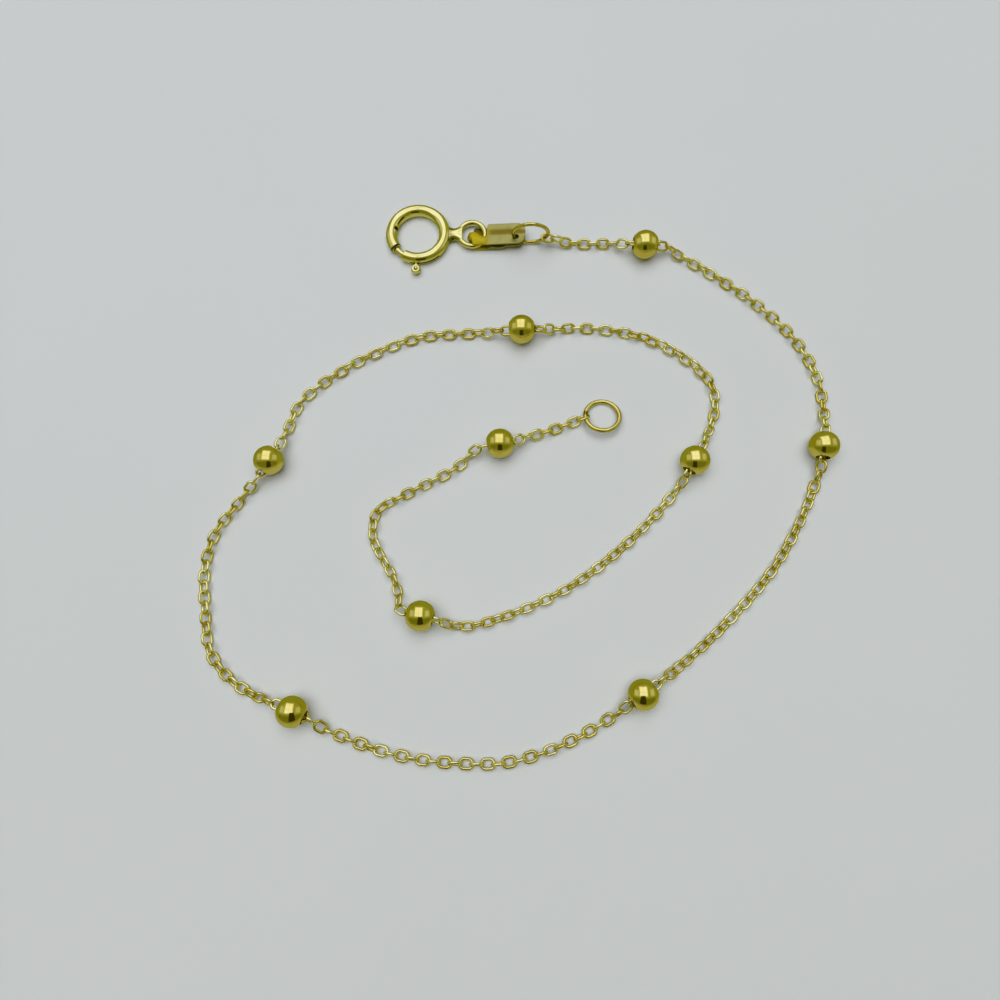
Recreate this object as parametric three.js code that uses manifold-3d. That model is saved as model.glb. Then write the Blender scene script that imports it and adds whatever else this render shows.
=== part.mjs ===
// A fine gold anklet that lies open in a spiral: hollow balls threaded on a cable chain, with a
// spring ring clasp, a folded tag and a jump ring at one end and a plain ring at the other.
// Millimetres, +Z up, resting on z = 0. The chain starts at the clasp and winds inwards.

import * as THREE from "three";
import { mergeVertices } from "three/addons/utils/BufferGeometryUtils.js";
import Module from "manifold-3d";

const wasm = await Module();
wasm.setup();

// Chain links: ovals of round wire, each turned a quarter from its neighbour.
const LINK_LENGTH = 1.22;
const LINK_WIDTH = 0.96;
const LINK_WIRE = 0.19;
const LINK_PITCH = 0.86;
const LINK_SIDES = 10;
const LINK_WIRE_SIDES = 6;

// The middle stretches are solid round runs of the chain's own outer size.
const CHAIN_RADIUS = LINK_WIDTH / 2;
const CHAIN_SIDES = 8;
const CHAIN_STEP = 1.9;

// Balls: thin hollow shells drilled through for the chain.
const BALL_RADIUS = 1.25;
const BALL_INNER_RADIUS = 1.05;
const BALL_HOLE_RADIUS = 0.58;
const BALL_SIDES = 16;
const BALL_OUTER_STEPS = 8;
const BALL_INNER_STEPS = 6;

// The chain runs straight through a ball, then sinks to the surface and rejoins its bend.
const BORE_RUN = 1.15;
const BEND_RUN = 1.6;
const SINK_RUN = 2.6;
const CHAIN_END_GAP = 0.18;

// Spring ring clasp: a bent hollow tube with an opening that a sprung wire closes.
const CLASP_X = -9.36;
const CLASP_Y = 21.98;
const CLASP_Z = 0.5;
const CLASP_MIDDLE_RADIUS = 2.4;
const CLASP_TUBE_RADIUS = 0.5;
const CLASP_BORE_RADIUS = 0.35;
const CLASP_OPENING_FROM = 210;
const CLASP_OPENING_TO = 240;
const CLASP_STEPS = 44;
const CLASP_SIDES = 12;
const SLOT_FROM = 257;
const SLOT_TO = 312;
const SLOT_HALF_HEIGHT = 0.18;
const LEVER_FROM = 203;
const LEVER_TO = 274;
const LEVER_RADIUS = 0.26;
const LEVER_STEPS = 14;
const LEVER_SIDES = 12;
const KNOB_ANGLE = 266;
const KNOB_REACH = 3.58;
const KNOB_RADIUS = 0.42;
const STEM_RADIUS = 0.11;
const EYELET_X = 5.0;
const EYELET_RADIUS = 1.22;
const EYELET_WIRE_RADIUS = 0.21;
const FLANGE_HALF_THICKNESS = 0.17;

// Folded tag: two plates joined by a narrow neck that folds through the eyelet.
const TAG_THICKNESS = 0.15;
const TAG_FOLD_X = 4.65;
const TAG_END_X = 9.88;
const TAG_PLATE_X = 6.52;
const TAG_Y_LOW = -1.3;
const TAG_Y_HIGH = 0.8;
const TAG_CORNER = 0.8;
const TAG_NECK_Y_LOW = -0.82;
const TAG_NECK_Y_HIGH = 0.26;
const TAG_TOP_Z = 0.91;
const TAG_UNDER_Z = 0.09;
const TAG_UNDER_END_Z = 0.45;
const TAG_FOLD_STEPS = 8;
const TAG_HOLE_X = 9.24;
const TAG_HOLE_Y = -0.62;
const TAG_HOLE_HALF_LENGTH = 0.5;
const TAG_HOLE_HALF_WIDTH = 0.25;

// Wire rings: the jump ring stands in the tag's hole, and the end ring leans on the last link.
const RING_SIDES = 24;
const RING_WIRE_SIDES = 8;
const JUMP_RING_RADIUS = 1.585;
const JUMP_RING_WIRE_RADIUS = 0.165;
const JUMP_RING_X = 10.33;
const JUMP_RING_Y = -0.69;
const JUMP_RING_LEAN = 94;
const END_RING_X = 7.13;
const END_RING_Y = 4.37;
const END_RING_RADIUS = 1.48;
const END_RING_WIRE_RADIUS = 0.165;
const END_RING_LEAN = -14;

// Where the end links hang: how far along the chain the first and last link's middles lie.
const LINK_SEAT = LINK_LENGTH / 2 - LINK_WIRE - JUMP_RING_WIRE_RADIUS - 0.05;
const START_HEIGHT = 0.98;
const END_HEIGHT = 0.52;
const END_RUN = 2.6;

const BALL = 1;
const BEND = 0;

// The chain's middle line seen from above, from the jump ring to the end ring: x, y and what is there.
const ROUTE = [
  [2.35, 21.3, BEND],
  [5.6, 21.1, BEND],
  [8.6, 21.0, BEND],
  [11.4, 20.5, BALL],
  [13.3, 20.5, BEND],
  [17.4, 18.1, BEND],
  [21.2, 15.2, BEND],
  [24.7, 11.4, BEND],
  [26.3, 7.7, BEND],
  [26.5, 4.6, BEND],
  [25.9, 1.5, BALL],
  [25.5, -0.8, BEND],
  [24.4, -3.5, BEND],
  [21.2, -8.8, BEND],
  [16.9, -13.4, BEND],
  [12.6, -17.1, BEND],
  [9.6, -19.1, BALL],
  [7.3, -20.8, BEND],
  [3.9, -22.7, BEND],
  [-0.9, -24.3, BEND],
  [-5.4, -24.4, BEND],
  [-10.4, -23.7, BEND],
  [-15.3, -22.0, BEND],
  [-18.3, -20.4, BALL],
  [-20.6, -19.6, BEND],
  [-23.2, -18.3, BEND],
  [-25.4, -15.9, BEND],
  [-26.2, -12.1, BEND],
  [-26.5, -9.5, BEND],
  [-25.9, -6.1, BEND],
  [-23.9, -3.1, BEND],
  [-21.5, 0.2, BALL],
  [-20.5, 2.5, BEND],
  [-19.4, 5.5, BEND],
  [-17.4, 7.5, BEND],
  [-13.5, 10.0, BEND],
  [-9.0, 11.8, BEND],
  [-3.6, 12.2, BEND],
  [0.1, 12.2, BALL],
  [2.7, 12.5, BEND],
  [6.0, 12.7, BEND],
  [11.0, 11.8, BEND],
  [14.8, 9.7, BEND],
  [16.7, 7.6, BEND],
  [17.1, 5.6, BEND],
  [16.4, 3.1, BEND],
  [14.8, 0.2, BALL],
  [13.3, -2.2, BEND],
  [8.8, -6.9, BEND],
  [3.6, -10.7, BEND],
  [-2.0, -13.1, BEND],
  [-5.0, -13.7, BEND],
  [-8.3, -12.9, BALL],
  [-9.8, -12.4, BEND],
  [-10.2, -11.2, BEND],
  [-10.6, -9.9, BEND],
  [-12.5, -6.3, BEND],
  [-12.2, -4.1, BEND],
  [-10.2, -2.8, BEND],
  [-5.8, -0.4, BEND],
  [-3.5, 1.4, BEND],
  [-1.8, 1.7, BALL],
  [0.4, 2.4, BEND],
  [3.4, 3.4, BEND],
  [5.65, 4.3, BEND],
];

const GOLD = new THREE.MeshStandardMaterial({ color: 0xc9b04a, roughness: 0.12, metalness: 1.0 });
const BALL_GOLD = new THREE.MeshStandardMaterial({ color: 0xc4aa3c, roughness: 0.08, metalness: 1.0 });
const CHAIN_GOLD = new THREE.MeshStandardMaterial({ color: 0xbfa53e, roughness: 0.2, metalness: 1.0 });

const radians = THREE.MathUtils.degToRad;

// Turns a closed three.js surface into a solid that can be joined and cut.
function solidOf(geometry) {
  const bare = geometry.clone();
  bare.deleteAttribute("normal");
  bare.deleteAttribute("uv");
  const merged = mergeVertices(bare, 1e-4);
  const mesh = new wasm.Mesh({
    numProp: 3,
    vertProperties: merged.attributes.position.array,
    triVerts: new Uint32Array(merged.index.array),
  });
  return new wasm.Manifold(mesh);
}

// Turns a solid back into a three.js surface.
function surfaceOf(solid) {
  const mesh = solid.getMesh();
  const geometry = new THREE.BufferGeometry();
  geometry.setAttribute("position", new THREE.BufferAttribute(mesh.vertProperties, 3));
  geometry.setIndex(new THREE.BufferAttribute(mesh.triVerts, 1));
  geometry.computeVertexNormals();
  return geometry;
}

function roundSection(radius, sides) {
  const section = new THREE.Shape();
  for (let i = 0; i < sides; i += 1) {
    const turn = (2 * Math.PI * i) / sides;
    const x = radius * Math.cos(turn);
    const y = radius * Math.sin(turn);
    if (i === 0) section.moveTo(x, y);
    else section.lineTo(x, y);
  }
  section.closePath();
  return section;
}

// A circular arc in the XY plane, in degrees counted counter-clockwise from +X.
class FlatArc extends THREE.Curve {
  constructor(radius, from, to) {
    super();
    this.radius = radius;
    this.from = from;
    this.to = to;
  }

  getPoint(share, target = new THREE.Vector3()) {
    const turn = radians(this.from + (this.to - this.from) * share);
    return target.set(this.radius * Math.cos(turn), this.radius * Math.sin(turn), 0);
  }
}

function bentRod(radius, rodRadius, from, to, steps, sides) {
  return new THREE.ExtrudeGeometry(roundSection(rodRadius, sides), {
    steps,
    extrudePath: new FlatArc(radius, from, to),
  });
}

// The route as a smooth curve, with the arc length at which each ball sits.
const CURVE_STEPS = 40;
const flatRoute = new THREE.CatmullRomCurve3(ROUTE.map(([x, y]) => new THREE.Vector3(x, y, 0)));
flatRoute.arcLengthDivisions = CURVE_STEPS * (ROUTE.length - 1);
const routeLength = flatRoute.getLength();
const lengthsAlong = flatRoute.getLengths();

function flatPoint(along) {
  return flatRoute.getPointAt(THREE.MathUtils.clamp(along / routeLength, 0, 1));
}

// Each ball's place along the route, its middle and the direction of its bore.
const ballSeats = ROUTE.flatMap(([x, y, kind], i) => {
  if (kind !== BALL) return [];
  const along = lengthsAlong[CURVE_STEPS * i];
  const bore = flatPoint(along + BORE_RUN).sub(flatPoint(along - BORE_RUN)).normalize();
  return [{ along, middle: new THREE.Vector3(x, y, 0), bore }];
});

// Falls smoothly from 1 to 0 over a run that starts past a level part.
function smoothFall(distance, level, run) {
  const t = THREE.MathUtils.clamp((distance - level) / run, 0, 1);
  return 1 - t * t * (3 - 2 * t);
}

// Height of the chain's middle line: on the surface, but held up at each ball and at both ends.
function heightAt(along) {
  const toBall = Math.min(...ballSeats.map((seat) => Math.abs(seat.along - along)));
  const ball = (BALL_RADIUS - CHAIN_RADIUS) * smoothFall(toBall, BORE_RUN, SINK_RUN);
  const start = (START_HEIGHT - CHAIN_RADIUS) * smoothFall(along, 0, END_RUN);
  const end = (END_HEIGHT - CHAIN_RADIUS) * smoothFall(routeLength - along, 0, END_RUN);
  return CHAIN_RADIUS + Math.max(ball, start, end);
}

// The chain's middle line, straight inside each ball.
function routePoint(along, target = new THREE.Vector3()) {
  target.copy(flatPoint(along));
  for (const { along: station, middle, bore } of ballSeats) {
    const offset = along - station;
    const share = smoothFall(Math.abs(offset), BORE_RUN, BEND_RUN);
    if (share > 0) target.lerp(middle.clone().addScaledVector(bore, offset), share);
  }
  target.z = heightAt(along);
  return target;
}

function routeDirection(along) {
  const reach = 0.05;
  return routePoint(along + reach).sub(routePoint(along - reach)).normalize();
}

// Part of the route, with a step at each of the given stations.
class RouteStretch extends THREE.Curve {
  constructor(stations) {
    super();
    this.stations = stations;
  }

  getPoint(share, target = new THREE.Vector3()) {
    const place = share * (this.stations.length - 1);
    const i = THREE.MathUtils.clamp(Math.floor(place), 0, this.stations.length - 2);
    const along = THREE.MathUtils.lerp(this.stations[i], this.stations[i + 1], place - i);
    return routePoint(along, target);
  }

  getUtoTmapping(share) {
    return share;
  }
}

// A round run of chain between two balls, with short steps where it leaves them.
function chainRun(fromBall, toBall) {
  const leaving = [CHAIN_END_GAP, BORE_RUN, BORE_RUN + SINK_RUN / 2];
  const from = fromBall + BORE_RUN + SINK_RUN;
  const to = toBall - BORE_RUN - SINK_RUN;
  const count = Math.round((to - from) / CHAIN_STEP);
  const stations = [
    ...leaving.map((distance) => fromBall + distance),
    ...Array.from({ length: count + 1 }, (_, i) => from + ((to - from) * i) / count),
    ...leaving.map((distance) => toBall - distance).reverse(),
  ];
  return new THREE.ExtrudeGeometry(roundSection(CHAIN_RADIUS, CHAIN_SIDES), {
    steps: stations.length - 1,
    extrudePath: new RouteStretch(stations),
  });
}

// One oval link: a wire ring pulled apart at its middle. It lies in XY with its length along X.
function linkGeometry() {
  const ring = new THREE.TorusGeometry(
    (LINK_WIDTH - LINK_WIRE) / 2,
    LINK_WIRE / 2,
    LINK_WIRE_SIDES,
    LINK_SIDES,
  );
  const position = ring.attributes.position;
  const stretch = (LINK_LENGTH - LINK_WIDTH) / 2;
  for (let i = 0; i < position.count; i += 1) {
    position.setX(i, position.getX(i) + Math.sign(position.getX(i)) * stretch);
  }
  return ring;
}

// A link at a station of the route, with its flat side turned up or to the side.
function linkAt(along, standing) {
  const forward = routeDirection(along);
  const side = new THREE.Vector3(0, 0, 1).cross(forward).normalize();
  const up = forward.clone().cross(side);
  const placed = standing
    ? new THREE.Matrix4().makeBasis(forward, up, side.clone().negate())
    : new THREE.Matrix4().makeBasis(forward, side, up);
  placed.setPosition(routePoint(along));
  return linkGeometry().applyMatrix4(placed);
}

// Real interlocking links between two stations, the first and last of them given.
function linkRun(first, last, firstStands) {
  const count = Math.max(2, Math.round((last - first) / LINK_PITCH) + 1);
  const pitch = (last - first) / (count - 1);
  let chain = solidOf(linkAt(first, firstStands));
  for (let i = 1; i < count; i += 1) {
    const standing = (i % 2 === 1) !== firstStands;
    chain = chain.add(solidOf(linkAt(first + i * pitch, standing)));
  }
  return surfaceOf(chain);
}

// A drilled hollow ball, turned about its bore.
function ballGeometry() {
  const profile = [];
  const outer = Math.asin(BALL_HOLE_RADIUS / BALL_RADIUS);
  const inner = Math.asin(BALL_HOLE_RADIUS / BALL_INNER_RADIUS);
  for (let i = 0; i <= BALL_OUTER_STEPS; i += 1) {
    const a = Math.PI - outer - ((Math.PI - 2 * outer) * i) / BALL_OUTER_STEPS;
    profile.push(new THREE.Vector2(BALL_RADIUS * Math.sin(a), BALL_RADIUS * Math.cos(a)));
  }
  for (let i = 0; i <= BALL_INNER_STEPS; i += 1) {
    const a = inner + ((Math.PI - 2 * inner) * i) / BALL_INNER_STEPS;
    profile.push(new THREE.Vector2(BALL_INNER_RADIUS * Math.sin(a), BALL_INNER_RADIUS * Math.cos(a)));
  }
  profile.push(profile[0].clone());
  return new THREE.LatheGeometry(profile, BALL_SIDES);
}

function ringGeometry(radius, wireRadius) {
  return new THREE.TorusGeometry(radius, wireRadius, RING_WIRE_SIDES, RING_SIDES);
}

// An outline in XY made solid between two heights.
function slab(shape, low, high, curveSegments = 8) {
  const geometry = new THREE.ExtrudeGeometry(shape, { depth: high - low, bevelEnabled: false, curveSegments });
  return geometry.translate(0, 0, low);
}

// The web that joins the clasp's tube to its eyelet, waisted between them.
function flangeShape() {
  const tubeSide = CLASP_MIDDLE_RADIUS + CLASP_TUBE_RADIUS - 0.09;
  const waist = 3.36;
  const eyeletSide = EYELET_X - EYELET_RADIUS;
  const shape = new THREE.Shape();
  shape.moveTo(tubeSide, -0.52);
  shape.quadraticCurveTo(tubeSide + 0.2, -0.3, waist, -0.3);
  shape.quadraticCurveTo(waist + 0.3, -0.34, eyeletSide + 0.3, -0.86);
  shape.lineTo(eyeletSide, 0);
  shape.lineTo(eyeletSide + 0.3, 0.86);
  shape.quadraticCurveTo(waist + 0.3, 0.34, waist, 0.3);
  shape.quadraticCurveTo(tubeSide + 0.2, 0.3, tubeSide, 0.52);
  shape.closePath();
  return shape;
}

// The slot that the lever's stem travels in, on the outer side of the tube.
function slotShape() {
  const inside = CLASP_MIDDLE_RADIUS + 0.2;
  const outside = CLASP_MIDDLE_RADIUS + CLASP_TUBE_RADIUS + 0.1;
  const shape = new THREE.Shape();
  shape.absarc(0, 0, outside, radians(SLOT_FROM), radians(SLOT_TO), false);
  shape.absarc(0, 0, inside, radians(SLOT_TO), radians(SLOT_FROM), true);
  shape.closePath();
  return shape;
}

function claspGeometry() {
  const from = CLASP_OPENING_TO;
  const to = CLASP_OPENING_FROM + 360;
  const tube = solidOf(
    bentRod(CLASP_MIDDLE_RADIUS, CLASP_TUBE_RADIUS, from, to, CLASP_STEPS, CLASP_SIDES),
  );
  const bore = solidOf(
    bentRod(CLASP_MIDDLE_RADIUS, CLASP_BORE_RADIUS, from - 2, to + 2, CLASP_STEPS, CLASP_SIDES),
  );
  const slot = solidOf(slab(slotShape(), -SLOT_HALF_HEIGHT, SLOT_HALF_HEIGHT, 16));
  const eyelet = solidOf(
    ringGeometry(EYELET_RADIUS, EYELET_WIRE_RADIUS).translate(EYELET_X, 0, 0),
  );
  const flange = solidOf(slab(flangeShape(), -FLANGE_HALF_THICKNESS, FLANGE_HALF_THICKNESS));
  return surfaceOf(tube.subtract(bore).subtract(slot).add(flange).add(eyelet));
}

// The sprung gate wire with its stem and knob.
function leverGeometry() {
  const wire = solidOf(
    bentRod(CLASP_MIDDLE_RADIUS, LEVER_RADIUS, LEVER_FROM, LEVER_TO, LEVER_STEPS, LEVER_SIDES),
  );
  const turn = radians(KNOB_ANGLE);
  const stemLength = KNOB_REACH - CLASP_MIDDLE_RADIUS;
  const stem = new THREE.CylinderGeometry(STEM_RADIUS, STEM_RADIUS, stemLength, 10)
    .rotateZ(turn - Math.PI / 2)
    .translate(
      (CLASP_MIDDLE_RADIUS + stemLength / 2) * Math.cos(turn),
      (CLASP_MIDDLE_RADIUS + stemLength / 2) * Math.sin(turn),
      0,
    );
  const knob = new THREE.SphereGeometry(KNOB_RADIUS, 14, 10)
    .translate(KNOB_REACH * Math.cos(turn), KNOB_REACH * Math.sin(turn), 0);
  return surfaceOf(wire.add(solidOf(stem)).add(solidOf(knob)));
}

// The tag seen from the side: a strip folded over the eyelet's wire, its lower plate rising.
function tagSideShape() {
  const t = TAG_THICKNESS;
  const radius = (TAG_TOP_Z - TAG_UNDER_Z) / 2;
  const middle = TAG_UNDER_Z + radius;
  const foldX = TAG_FOLD_X + radius;
  const shape = new THREE.Shape();
  shape.moveTo(TAG_END_X, TAG_TOP_Z);
  shape.lineTo(foldX, TAG_TOP_Z);
  shape.absarc(foldX, middle, radius, Math.PI / 2, 1.5 * Math.PI, false);
  shape.lineTo(TAG_PLATE_X, TAG_UNDER_Z);
  shape.lineTo(TAG_END_X, TAG_UNDER_END_Z);
  shape.lineTo(TAG_END_X, TAG_UNDER_END_Z + t);
  shape.lineTo(TAG_PLATE_X, TAG_UNDER_Z + t);
  shape.lineTo(foldX, TAG_UNDER_Z + t);
  shape.absarc(foldX, middle, radius - t, 1.5 * Math.PI, Math.PI / 2, true);
  shape.lineTo(TAG_END_X, TAG_TOP_Z - t);
  shape.closePath();
  return shape;
}

// The tag seen from above: a narrow neck, then a wide plate with a rounded free end.
function tagTopShape() {
  const shape = new THREE.Shape();
  shape.moveTo(TAG_FOLD_X - 0.1, TAG_NECK_Y_LOW);
  shape.lineTo(TAG_PLATE_X - 0.25, TAG_NECK_Y_LOW);
  shape.lineTo(TAG_PLATE_X, TAG_Y_LOW);
  shape.lineTo(TAG_END_X - TAG_CORNER, TAG_Y_LOW);
  shape.absarc(TAG_END_X - TAG_CORNER, TAG_Y_LOW + TAG_CORNER, TAG_CORNER, -Math.PI / 2, 0, false);
  shape.absarc(TAG_END_X - TAG_CORNER, TAG_Y_HIGH - TAG_CORNER, TAG_CORNER, 0, Math.PI / 2, false);
  shape.lineTo(TAG_PLATE_X, TAG_Y_HIGH);
  shape.lineTo(TAG_PLATE_X - 0.25, TAG_NECK_Y_HIGH);
  shape.lineTo(TAG_FOLD_X - 0.1, TAG_NECK_Y_HIGH);
  shape.closePath();
  return shape;
}

function tagHoleShape() {
  const reach = TAG_HOLE_HALF_LENGTH - TAG_HOLE_HALF_WIDTH;
  const shape = new THREE.Shape();
  shape.absarc(TAG_HOLE_X + reach, TAG_HOLE_Y, TAG_HOLE_HALF_WIDTH, -Math.PI / 2, Math.PI / 2, false);
  shape.absarc(TAG_HOLE_X - reach, TAG_HOLE_Y, TAG_HOLE_HALF_WIDTH, Math.PI / 2, 1.5 * Math.PI, false);
  shape.closePath();
  return shape;
}

function tagGeometry() {
  const side = new THREE.ExtrudeGeometry(tagSideShape(), {
    depth: TAG_Y_HIGH - TAG_Y_LOW + 0.2,
    bevelEnabled: false,
    curveSegments: TAG_FOLD_STEPS,
  });
  side.rotateX(Math.PI / 2).translate(0, TAG_Y_HIGH + 0.1, 0);
  const outline = solidOf(slab(tagTopShape(), -0.1, TAG_TOP_Z + 0.1));
  const hole = solidOf(slab(tagHoleShape(), -0.1, TAG_TOP_Z + 0.1));
  return surfaceOf(solidOf(side).intersect(outline).subtract(hole));
}

const anklet = new THREE.Group();

function addPiece(parent, name, geometry, material) {
  const piece = new THREE.Mesh(geometry, material);
  piece.name = name;
  parent.add(piece);
  return piece;
}

function addChain() {
  const stops = [LINK_SEAT, ...ballSeats.map((seat) => seat.along), routeLength - LINK_SEAT];
  const insideBall = CHAIN_END_GAP + LINK_LENGTH / 2;
  for (let i = 0; i + 1 < stops.length; i += 1) {
    const isFirst = i === 0;
    const isLast = i + 2 === stops.length;
    let geometry;
    if (isFirst) geometry = linkRun(stops[i], stops[i + 1] - insideBall, false);
    else if (isLast) geometry = linkRun(stops[i] + insideBall, stops[i + 1], true);
    else geometry = chainRun(stops[i], stops[i + 1]);
    addPiece(anklet, `chain_${i + 1}`, geometry, CHAIN_GOLD);
  }
}

function addBalls() {
  ballSeats.forEach(({ middle, bore }, i) => {
    const ball = addPiece(anklet, `bead_${i + 1}`, ballGeometry(), BALL_GOLD);
    ball.position.set(middle.x, middle.y, BALL_RADIUS);
    ball.rotation.z = Math.atan2(bore.y, bore.x) - Math.PI / 2;
  });
}

function addClasp() {
  const clasp = new THREE.Group();
  clasp.position.set(CLASP_X, CLASP_Y, 0);
  anklet.add(clasp);
  addPiece(clasp, "clasp_ring", claspGeometry(), GOLD).position.z = CLASP_Z;
  addPiece(clasp, "clasp_lever", leverGeometry(), GOLD).position.z = CLASP_Z;
  addPiece(clasp, "tag", tagGeometry(), GOLD);
  const jumpRing = addPiece(clasp, "jump_ring", ringGeometry(JUMP_RING_RADIUS, JUMP_RING_WIRE_RADIUS), GOLD);
  jumpRing.position.set(JUMP_RING_X, JUMP_RING_Y, JUMP_RING_RADIUS + JUMP_RING_WIRE_RADIUS);
  jumpRing.rotation.x = radians(JUMP_RING_LEAN);
}

function addEndRing() {
  const ring = addPiece(anklet, "end_ring", ringGeometry(END_RING_RADIUS, END_RING_WIRE_RADIUS), GOLD);
  const rise = END_RING_RADIUS * Math.abs(Math.sin(radians(END_RING_LEAN))) + END_RING_WIRE_RADIUS;
  ring.position.set(END_RING_X, END_RING_Y, rise);
  ring.rotation.x = radians(END_RING_LEAN);
}

addChain();
addBalls();
addClasp();
addEndRing();

// The origin is under the middle of the whole lay.
const middle = new THREE.Box3().setFromObject(anklet, true).getCenter(new THREE.Vector3());
anklet.position.set(-middle.x, -middle.y, 0);

export default anklet;
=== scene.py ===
"""Looks of a fine gold anklet: a cable chain of real links, polished hollow balls, a spring ring
clasp, a folded tag, a jump ring and a plain end ring, lying open on a pale surface.

Sizes are in millimetres until a mesh is made, in the part's own frame.
"""

import math

import bpy
import numpy as np
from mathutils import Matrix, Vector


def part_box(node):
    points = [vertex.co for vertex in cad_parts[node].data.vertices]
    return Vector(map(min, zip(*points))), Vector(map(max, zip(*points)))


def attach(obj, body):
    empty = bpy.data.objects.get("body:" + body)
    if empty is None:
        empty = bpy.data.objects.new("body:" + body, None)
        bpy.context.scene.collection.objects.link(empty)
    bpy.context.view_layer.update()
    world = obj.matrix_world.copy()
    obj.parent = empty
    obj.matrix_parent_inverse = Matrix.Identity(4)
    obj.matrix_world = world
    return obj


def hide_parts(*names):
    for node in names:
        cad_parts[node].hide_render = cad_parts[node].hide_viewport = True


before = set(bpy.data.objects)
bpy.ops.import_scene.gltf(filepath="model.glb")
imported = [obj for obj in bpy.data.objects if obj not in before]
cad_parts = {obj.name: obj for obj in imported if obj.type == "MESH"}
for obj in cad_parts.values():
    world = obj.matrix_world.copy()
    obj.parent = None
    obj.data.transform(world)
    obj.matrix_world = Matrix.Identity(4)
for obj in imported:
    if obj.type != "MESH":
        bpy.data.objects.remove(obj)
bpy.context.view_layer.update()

MM = 0.001
TURN = 2 * math.pi
TINY = 1e-6


# Camera

# The lay in millimetres before it was centred: x, y and whether a ball sits there.
ROUTE = np.array([
    (2.35, 21.3, 0), (5.6, 21.1, 0), (8.6, 21.0, 0), (11.4, 20.5, 1), (13.3, 20.5, 0),
    (17.4, 18.1, 0), (21.2, 15.2, 0), (24.7, 11.4, 0), (26.3, 7.7, 0), (26.5, 4.6, 0),
    (25.9, 1.5, 1), (25.5, -0.8, 0), (24.4, -3.5, 0), (21.2, -8.8, 0), (16.9, -13.4, 0),
    (12.6, -17.1, 0), (9.6, -19.1, 1), (7.3, -20.8, 0), (3.9, -22.7, 0), (-0.9, -24.3, 0),
    (-5.4, -24.4, 0), (-10.4, -23.7, 0), (-15.3, -22.0, 0), (-18.3, -20.4, 1), (-20.6, -19.6, 0),
    (-23.2, -18.3, 0), (-25.4, -15.9, 0), (-26.2, -12.1, 0), (-26.5, -9.5, 0), (-25.9, -6.1, 0),
    (-23.9, -3.1, 0), (-21.5, 0.2, 1), (-20.5, 2.5, 0), (-19.4, 5.5, 0), (-17.4, 7.5, 0),
    (-13.5, 10.0, 0), (-9.0, 11.8, 0), (-3.6, 12.2, 0), (0.1, 12.2, 1), (2.7, 12.5, 0),
    (6.0, 12.7, 0), (11.0, 11.8, 0), (14.8, 9.7, 0), (16.7, 7.6, 0), (17.1, 5.6, 0),
    (16.4, 3.1, 0), (14.8, 0.2, 1), (13.3, -2.2, 0), (8.8, -6.9, 0), (3.6, -10.7, 0),
    (-2.0, -13.1, 0), (-5.0, -13.7, 0), (-8.3, -12.9, 1), (-9.8, -12.4, 0), (-10.2, -11.2, 0),
    (-10.6, -9.9, 0), (-12.5, -6.3, 0), (-12.2, -4.1, 0), (-10.2, -2.8, 0), (-5.8, -0.4, 0),
    (-3.5, 1.4, 0), (-1.8, 1.7, 1), (0.4, 2.4, 0), (3.4, 3.4, 0), (5.65, 4.3, 0),
])

first_ball = np.array(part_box("bead_1")).mean(0)[:2] / MM
CENTRING = first_ball - ROUTE[ROUTE[:, 2] == 1][0, :2]

CAMERA_DISTANCE = 62.0
CAMERA_ELEVATION = math.radians(78)
TO_CAMERA = np.array([0, -math.cos(CAMERA_ELEVATION), math.sin(CAMERA_ELEVATION)])
CAMERA_UP = np.array([0, math.sin(CAMERA_ELEVATION), math.cos(CAMERA_ELEVATION)])
LENS = 26.0
SENSOR = 36.0
CLIP_SPAN = (2.0, 20000.0)
AIM = np.array([-1.8, -3.0, 0.0]) + (*CENTRING, 0)


def add_camera():
    """A camera high over the front of the lay that looks at the middle of the spiral."""
    data = bpy.data.cameras.new("camera")
    data.sensor_width = SENSOR
    data.lens = LENS
    data.clip_start, data.clip_end = (length * MM for length in CLIP_SPAN)
    camera = bpy.data.objects.new("camera", data)
    camera.location = (AIM + TO_CAMERA * CAMERA_DISTANCE) * MM
    camera.rotation_euler = (math.pi / 2 - CAMERA_ELEVATION, 0, 0)
    bpy.context.scene.collection.objects.link(camera)
    bpy.context.scene.camera = camera


add_camera()


# Node maths

# Sockets that are asked for by their number.
DIRECTION_SOCKET = 0
PLACE_SOCKET = 3
ATTRIBUTE_SOCKET = 2
NUMBER_SOCKET = 1
MIX_INPUTS = (0, 6, 7)
MIX_COLOUR = 2


class Wire:
    """One output of a shader node. Arithmetic on wires and numbers adds Math nodes."""

    def __init__(self, shader, socket):
        self.shader = shader
        self.socket = socket

    def _math(self, operation, *values, clamp=False):
        settings = {"operation": operation, "use_clamp": clamp}
        return self.shader.node("ShaderNodeMath", settings, dict(enumerate(values)))

    def __add__(self, other):
        return self._math("ADD", self, other)

    def __radd__(self, other):
        return self._math("ADD", other, self)

    def __sub__(self, other):
        return self._math("SUBTRACT", self, other)

    def __rsub__(self, other):
        return self._math("SUBTRACT", other, self)

    def __mul__(self, other):
        return self._math("MULTIPLY", self, other)

    def __abs__(self):
        return self._math("ABSOLUTE", self)

    def clamped(self):
        return self._math("ADD", self, 0.0, clamp=True)

    def rise(self, low, high):
        """0 below low, 1 above high, and smooth between them."""
        return self.shader.node(
            "ShaderNodeMapRange",
            {"interpolation_type": "SMOOTHSTEP"},
            {"Value": self, "From Min": low, "From Max": high},
        )

    def band(self, middle, half, soft):
        """1 within half of the middle, falling smoothly to 0 over soft."""
        return 1 - abs(self - middle).rise(half, half + soft)


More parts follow.
